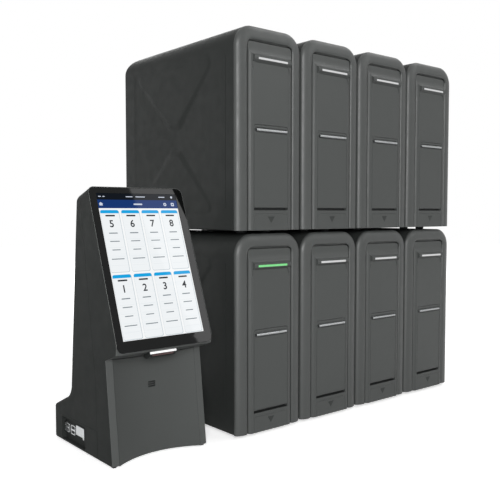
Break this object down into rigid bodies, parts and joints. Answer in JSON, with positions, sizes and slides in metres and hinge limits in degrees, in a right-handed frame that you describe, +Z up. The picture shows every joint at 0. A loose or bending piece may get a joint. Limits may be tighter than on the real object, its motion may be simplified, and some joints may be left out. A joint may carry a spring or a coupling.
{
  "type": "real-time PCR machine",
  "caption": "Cartridge-based real-time PCR system: two stacked rows of slim rounded analysis modules with fold-down doors, and a tilted touch-screen console with a bar-code scanner.",
  "frame": {"origin": "on the bench plane, under the middle of the whole group's bounding box", "axes": "+X to the right as seen from the front, +Y to the rear, +Z up; the doors and the screen face -Y"},
  "size_m": [0.7674, 0.3438, 0.6453],
  "materials": {
    "shell_plastic": "fine matte texture",
    "bezel_plastic": "satin metallic paint",
    "fascia_plastic": "satin",
    "silver_metal": "brushed satin",
    "chassis_metal": "bead-blasted",
    "frame_plastic": "satin",
    "panel_plastic": "satin",
    "screen_glass": "polished",
    "display": "backlit panel",
    "socket_steel": "plated",
    "board": "solder mask"
  },
  "bodies": {
    "system": {"module_1_case": "shell_plastic", "module_1_bezel": "bezel_plastic", "module_1_fascia": "fascia_plastic", "module_1_cartridge_bay": "chassis_metal", "module_2_case": "shell_plastic", "module_2_bezel": "bezel_plastic", "module_2_fascia": "fascia_plastic", "module_2_cartridge_bay": "chassis_metal", "module_3_case": "shell_plastic", "module_3_bezel": "bezel_plastic", "module_3_fascia": "fascia_plastic", "module_3_cartridge_bay": "chassis_metal", "module_4_case": "shell_plastic", "module_4_bezel": "bezel_plastic", "module_4_fascia": "fascia_plastic", "module_4_cartridge_bay": "chassis_metal", "module_5_case": "shell_plastic", "module_5_bezel": "bezel_plastic", "module_5_fascia": "fascia_plastic", "module_5_cartridge_bay": "chassis_metal", "module_6_case": "shell_plastic", "module_6_bezel": "bezel_plastic", "module_6_fascia": "fascia_plastic", "module_6_cartridge_bay": "chassis_metal", "module_7_case": "shell_plastic", "module_7_bezel": "bezel_plastic", "module_7_fascia": "fascia_plastic", "module_7_cartridge_bay": "chassis_metal", "module_8_case": "shell_plastic", "module_8_bezel": "bezel_plastic", "module_8_fascia": "fascia_plastic", "module_8_cartridge_bay": "chassis_metal", "console_housing": "shell_plastic", "console_front_frame": "frame_plastic", "console_front_panel": "panel_plastic", "console_base": "shell_plastic", "console_screen_glass": "screen_glass", "console_display_panel": "display", "console_barcode_scanner": "shell_plastic", "console_usb_port_rear": "socket_steel", "console_usb_port_front": "socket_steel", "console_port_plate": "socket_steel", "console_main_board": "board"},
    "module_1_door": {"module_1_door": "fascia_plastic", "module_1_door_handle": "silver_metal"},
    "module_2_door": {"module_2_door": "fascia_plastic", "module_2_door_handle": "silver_metal"},
    "module_3_door": {"module_3_door": "fascia_plastic", "module_3_door_handle": "silver_metal"},
    "module_4_door": {"module_4_door": "fascia_plastic", "module_4_door_handle": "silver_metal"},
    "module_5_door": {"module_5_door": "fascia_plastic", "module_5_door_handle": "silver_metal"},
    "module_6_door": {"module_6_door": "fascia_plastic", "module_6_door_handle": "silver_metal"},
    "module_7_door": {"module_7_door": "fascia_plastic", "module_7_door_handle": "silver_metal"},
    "module_8_door": {"module_8_door": "fascia_plastic", "module_8_door_handle": "silver_metal"},
    "console_power_button": {"console_power_button": "frame_plastic"}
  },
  "joints": [
    {"name": "module_1_door_hinge", "type": "hinge", "parent": "system", "child": "module_1_door", "pos_m": [-0.1048, -0.16375, 0.0431], "axis": [1, 0, 0], "range_deg": [0, 90]},
    {"name": "module_2_door_hinge", "type": "hinge", "parent": "system", "child": "module_2_door", "pos_m": [0.0352, -0.16375, 0.0431], "axis": [1, 0, 0], "range_deg": [0, 90]},
    {"name": "module_3_door_hinge", "type": "hinge", "parent": "system", "child": "module_3_door", "pos_m": [0.1752, -0.16375, 0.0431], "axis": [1, 0, 0], "range_deg": [0, 90]},
    {"name": "module_4_door_hinge", "type": "hinge", "parent": "system", "child": "module_4_door", "pos_m": [0.3152, -0.16375, 0.0431], "axis": [1, 0, 0], "range_deg": [0, 90]},
    {"name": "module_5_door_hinge", "type": "hinge", "parent": "system", "child": "module_5_door", "pos_m": [-0.1048, -0.16375, 0.3659], "axis": [1, 0, 0], "range_deg": [0, 90]},
    {"name": "module_6_door_hinge", "type": "hinge", "parent": "system", "child": "module_6_door", "pos_m": [0.0352, -0.16375, 0.3659], "axis": [1, 0, 0], "range_deg": [0, 90]},
    {"name": "module_7_door_hinge", "type": "hinge", "parent": "system", "child": "module_7_door", "pos_m": [0.1752, -0.16375, 0.3659], "axis": [1, 0, 0], "range_deg": [0, 90]},
    {"name": "module_8_door_hinge", "type": "hinge", "parent": "system", "child": "module_8_door", "pos_m": [0.3152, -0.16375, 0.3659], "axis": [1, 0, 0], "range_deg": [0, 90]},
    {"name": "console_power_button_press", "type": "slide", "parent": "system", "child": "console_power_button", "axis": [0, -1, 0], "range_m": [0, 0.0015], "stiffness_N_per_m": 300}
  ]
}
